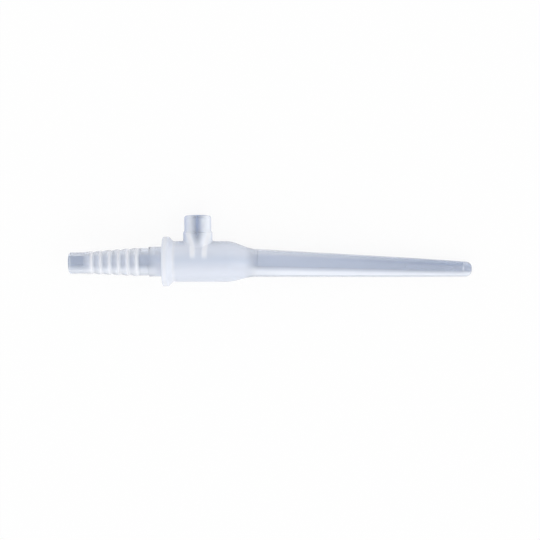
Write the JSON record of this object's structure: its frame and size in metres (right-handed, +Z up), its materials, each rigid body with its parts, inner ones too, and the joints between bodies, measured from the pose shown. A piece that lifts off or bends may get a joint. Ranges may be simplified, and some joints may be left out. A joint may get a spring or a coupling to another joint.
{
  "type": "oral suction tip",
  "caption": "Slender translucent oral suction tip with a barbed tubing connector, a flange, a thick round body, a finger port on its side and a long tapered tip with a rounded end.",
  "frame": {"origin": "centre of the part's footprint, on the surface that it lies on", "axes": "+X along the part towards the tip's rounded end, +Y to the side that the finger port points to, +Z up from the surface"},
  "size_m": [0.1268, 0.0228, 0.0157],
  "materials": {
    "soft_translucent_plastic": "soft translucent moulding, milky where the wall is thick and clear blue-grey where it is thin, with a satin surface"
  },
  "bodies": {
    "root": {"suction_tip": "soft_translucent_plastic"}
  },
  "joints": []
}
